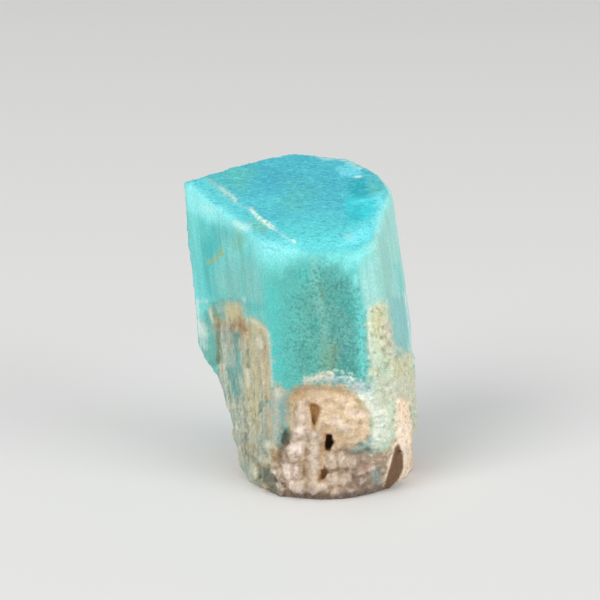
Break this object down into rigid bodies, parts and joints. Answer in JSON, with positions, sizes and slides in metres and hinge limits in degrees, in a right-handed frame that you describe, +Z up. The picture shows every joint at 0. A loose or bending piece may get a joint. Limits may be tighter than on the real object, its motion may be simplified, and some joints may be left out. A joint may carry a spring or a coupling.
{
  "type": "amazonite crystal",
  "caption": "Stubby leaning prism of blue-green amazonite with a sloping crown, a granular crust and pale pitted rock at its flat foot.",
  "frame": {"origin": "on the ground, under the middle of the crystal's bounding box", "axes": "+Z up, along the crystal's length and through its crown; -Y towards the side where the crown is lowest and the rock shows; +X to the right as seen from there"},
  "size_m": [0.0407, 0.0328, 0.0523],
  "materials": {
    "amazonite": "satin blue-green feldspar, streaked and finely grained, with worn pale edges, a granular cream crust and chalky beige rock at the foot"
  },
  "bodies": {
    "root": {"amazonite_crystal": "amazonite"}
  },
  "joints": []
}
